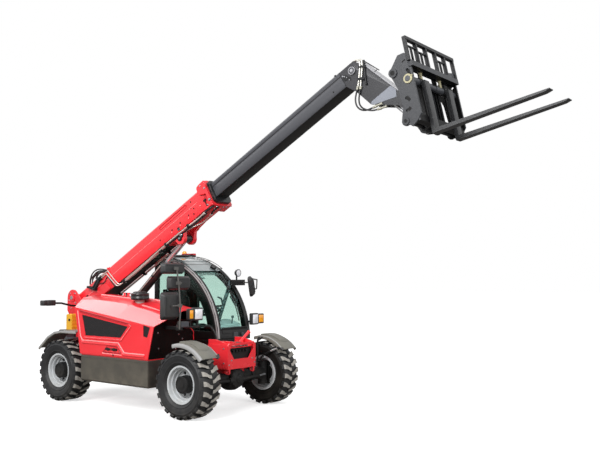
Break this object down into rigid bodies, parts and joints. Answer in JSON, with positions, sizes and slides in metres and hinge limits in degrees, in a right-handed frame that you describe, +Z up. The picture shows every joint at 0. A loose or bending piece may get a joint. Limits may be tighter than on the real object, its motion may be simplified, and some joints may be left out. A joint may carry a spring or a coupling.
{
  "type": "compact telehandler",
  "caption": "Compact telehandler with a side cab, an engine pod, four steered wheels and a two-section boom carrying a fork carriage.",
  "frame": {"origin": "bottom centre of the whole machine's box at rest, on the ground under the boom's centre plane", "axes": "+X forward along the forks, +Y to the machine's left (the cab side), +Z up"},
  "size_m": [7.3707, 2.085, 4.1567],
  "materials": {
    "red_paint": "gloss paint",
    "dark_paint": "satin paint",
    "cab_paint": "satin paint",
    "fork_steel": "satin paint, worn",
    "axle_iron": "painted casting",
    "tank_paint": "matt paint",
    "cylinder_paint": "satin paint",
    "chrome_rod": "polished chrome",
    "zinc": "yellow zinc",
    "pad_plastic": "matt",
    "exhaust_metal": "heat-proof matt paint",
    "chock_plastic": "matt",
    "glass_green": "tinted",
    "seat_fabric": "woven cloth",
    "console_plastic": "grained",
    "lamp_clear": "clear lens",
    "hose_rubber": "smooth rubber cover",
    "rim_paint": "satin paint",
    "tyre_rubber": "dusty rubber",
    "fender_plastic": "moulded"
  },
  "bodies": {
    "chassis": {"chassis_frame": "red_paint", "boom_tower": "red_paint", "counterweight": "dark_paint", "frame_nose": "red_paint", "front_axle": "axle_iron", "rear_axle": "axle_iron", "side_tank": "tank_paint", "engine_block": "axle_iron", "engine_bulkhead": "dark_paint", "exhaust_stack": "exhaust_metal", "wheel_chock": "chock_plastic", "cab_frame": "cab_paint", "cab_roof": "red_paint", "windscreen": "glass_green", "cab_windows": "glass_green", "cab_floor": "cab_paint", "operator_seat": "seat_fabric", "steering_console": "console_plastic", "fender_rear_left": "fender_plastic", "fender_rear_right": "fender_plastic", "mirrors": "pad_plastic", "lamps": "lamp_clear"},
    "hood": {"engine_hood": "red_paint", "air_precleaner": "pad_plastic"},
    "door": {"cab_door": "cab_paint", "door_glass": "glass_green"},
    "outer_boom": {"outer_boom": "red_paint", "boom_wear_pads": "pad_plastic", "tail_hose_right": "hose_rubber", "tail_hose_left": "hose_rubber"},
    "inner_boom": {"inner_boom": "dark_paint", "boom_nose": "dark_paint", "nose_hose_outer": "hose_rubber", "nose_hose_inner": "hose_rubber"},
    "carriage": {"fork_coupler": "dark_paint", "fork_carriage": "dark_paint", "load_backrest": "dark_paint", "fork_shaft": "zinc", "forks": "fork_steel"},
    "lift_barrel": {"lift_barrel": "cylinder_paint"},
    "lift_rod": {"lift_rod": "chrome_rod"},
    "tilt_barrel": {"tilt_barrel": "cylinder_paint"},
    "tilt_rod": {"tilt_rod": "chrome_rod"},
    "knuckle_front_left": {"knuckle_front_left": "axle_iron", "fender_front_left": "fender_plastic"},
    "wheel_front_left": {"rim_front_left": "rim_paint", "tyre_front_left": "tyre_rubber"},
    "knuckle_front_right": {"knuckle_front_right": "axle_iron", "fender_front_right": "fender_plastic"},
    "wheel_front_right": {"rim_front_right": "rim_paint", "tyre_front_right": "tyre_rubber"},
    "knuckle_rear_left": {"knuckle_rear_left": "axle_iron"},
    "wheel_rear_left": {"rim_rear_left": "rim_paint", "tyre_rear_left": "tyre_rubber"},
    "knuckle_rear_right": {"knuckle_rear_right": "axle_iron"},
    "wheel_rear_right": {"rim_rear_right": "rim_paint", "tyre_rear_right": "tyre_rubber"}
  },
  "joints": [
    {"name": "steer_front_left", "type": "hinge", "parent": "chassis", "child": "knuckle_front_left", "pos_m": [-0.58169, 0.63, 0.413], "axis": [0, 0, 1], "range_deg": [-30, 30]},
    {"name": "spin_front_left", "type": "hinge", "parent": "knuckle_front_left", "child": "wheel_front_left", "pos_m": [-0.58169, 0.75, 0.413], "axis": [0, 1, 0], "continuous": true},
    {"name": "steer_front_right", "type": "hinge", "parent": "chassis", "child": "knuckle_front_right", "pos_m": [-0.58169, -0.63, 0.413], "axis": [0, 0, 1], "range_deg": [-30, 30]},
    {"name": "spin_front_right", "type": "hinge", "parent": "knuckle_front_right", "child": "wheel_front_right", "pos_m": [-0.58169, -0.75, 0.413], "axis": [0, 1, 0], "continuous": true},
    {"name": "steer_rear_left", "type": "hinge", "parent": "chassis", "child": "knuckle_rear_left", "pos_m": [-2.94169, 0.63, 0.413], "axis": [0, 0, 1], "range_deg": [-30, 30]},
    {"name": "spin_rear_left", "type": "hinge", "parent": "knuckle_rear_left", "child": "wheel_rear_left", "pos_m": [-2.94169, 0.75, 0.413], "axis": [0, 1, 0], "continuous": true},
    {"name": "steer_rear_right", "type": "hinge", "parent": "chassis", "child": "knuckle_rear_right", "pos_m": [-2.94169, -0.63, 0.413], "axis": [0, 0, 1], "range_deg": [-30, 30]},
    {"name": "spin_rear_right", "type": "hinge", "parent": "knuckle_rear_right", "child": "wheel_rear_right", "pos_m": [-2.94169, -0.75, 0.413], "axis": [0, 1, 0], "continuous": true},
    {"name": "hood_lift", "type": "hinge", "parent": "chassis", "child": "hood", "pos_m": [-1.76168, -0.213, 1.452], "axis": [-1, 0, 0], "range_deg": [0, 60]},
    {"name": "door_swing", "type": "hinge", "parent": "chassis", "child": "door", "pos_m": [-2.06768, 0.876, 1.2], "axis": [0, 0, 1], "range_deg": [0, 80]},
    {"name": "boom_lift", "type": "hinge", "parent": "chassis", "child": "outer_boom", "pos_m": [-3.53168, 0, 1.37], "axis": [0, -1, 0], "range_deg": [-30, 32.5]},
    {"name": "boom_extend", "type": "slide", "parent": "outer_boom", "child": "inner_boom", "axis": [0.8704, 0, 0.4924], "range_m": [-2, 0]},
    {"name": "carriage_tilt", "type": "hinge", "parent": "inner_boom", "child": "carriage", "pos_m": [2.12829, 0, 3.5405], "axis": [0, 1, 0], "range_deg": [-30, 105]},
    {"name": "lift_rod_pin", "type": "hinge", "parent": "outer_boom", "child": "lift_rod", "pos_m": [-1.39003, 0, 2.19449], "axis": [0, -1, 0], "range_deg": [-1.04, 1.04]},
    {"name": "lift_stroke", "type": "slide", "parent": "lift_rod", "child": "lift_barrel", "axis": [-0.7633, 0, -0.6461], "range_m": [-0.38498, 0.41689]},
    {"name": "tilt_barrel_pin", "type": "hinge", "parent": "inner_boom", "child": "tilt_barrel", "pos_m": [1.3456, 0, 4.02833], "axis": [0, -1, 0], "range_deg": [-12.44, 3.91]},
    {"name": "tilt_stroke", "type": "slide", "parent": "tilt_barrel", "child": "tilt_rod", "axis": [0.7588, 0, -0.6513], "range_m": [-0.42656, 0.1233]}
  ],
  "couplings": [
    {"joint": "steer_front_right", "follows": "steer_front_left", "ratio": 1},
    {"joint": "steer_rear_right", "follows": "steer_rear_left", "ratio": 1},
    {"joint": "lift_rod_pin", "follows": "boom_lift", "ratio": -0.00134},
    {"joint": "lift_stroke", "follows": "boom_lift", "m_per_rad": 0.73143},
    {"joint": "tilt_barrel_pin", "follows": "carriage_tilt", "ratio": -0.11369},
    {"joint": "tilt_stroke", "follows": "carriage_tilt", "m_per_rad": -0.23167}
  ]
}
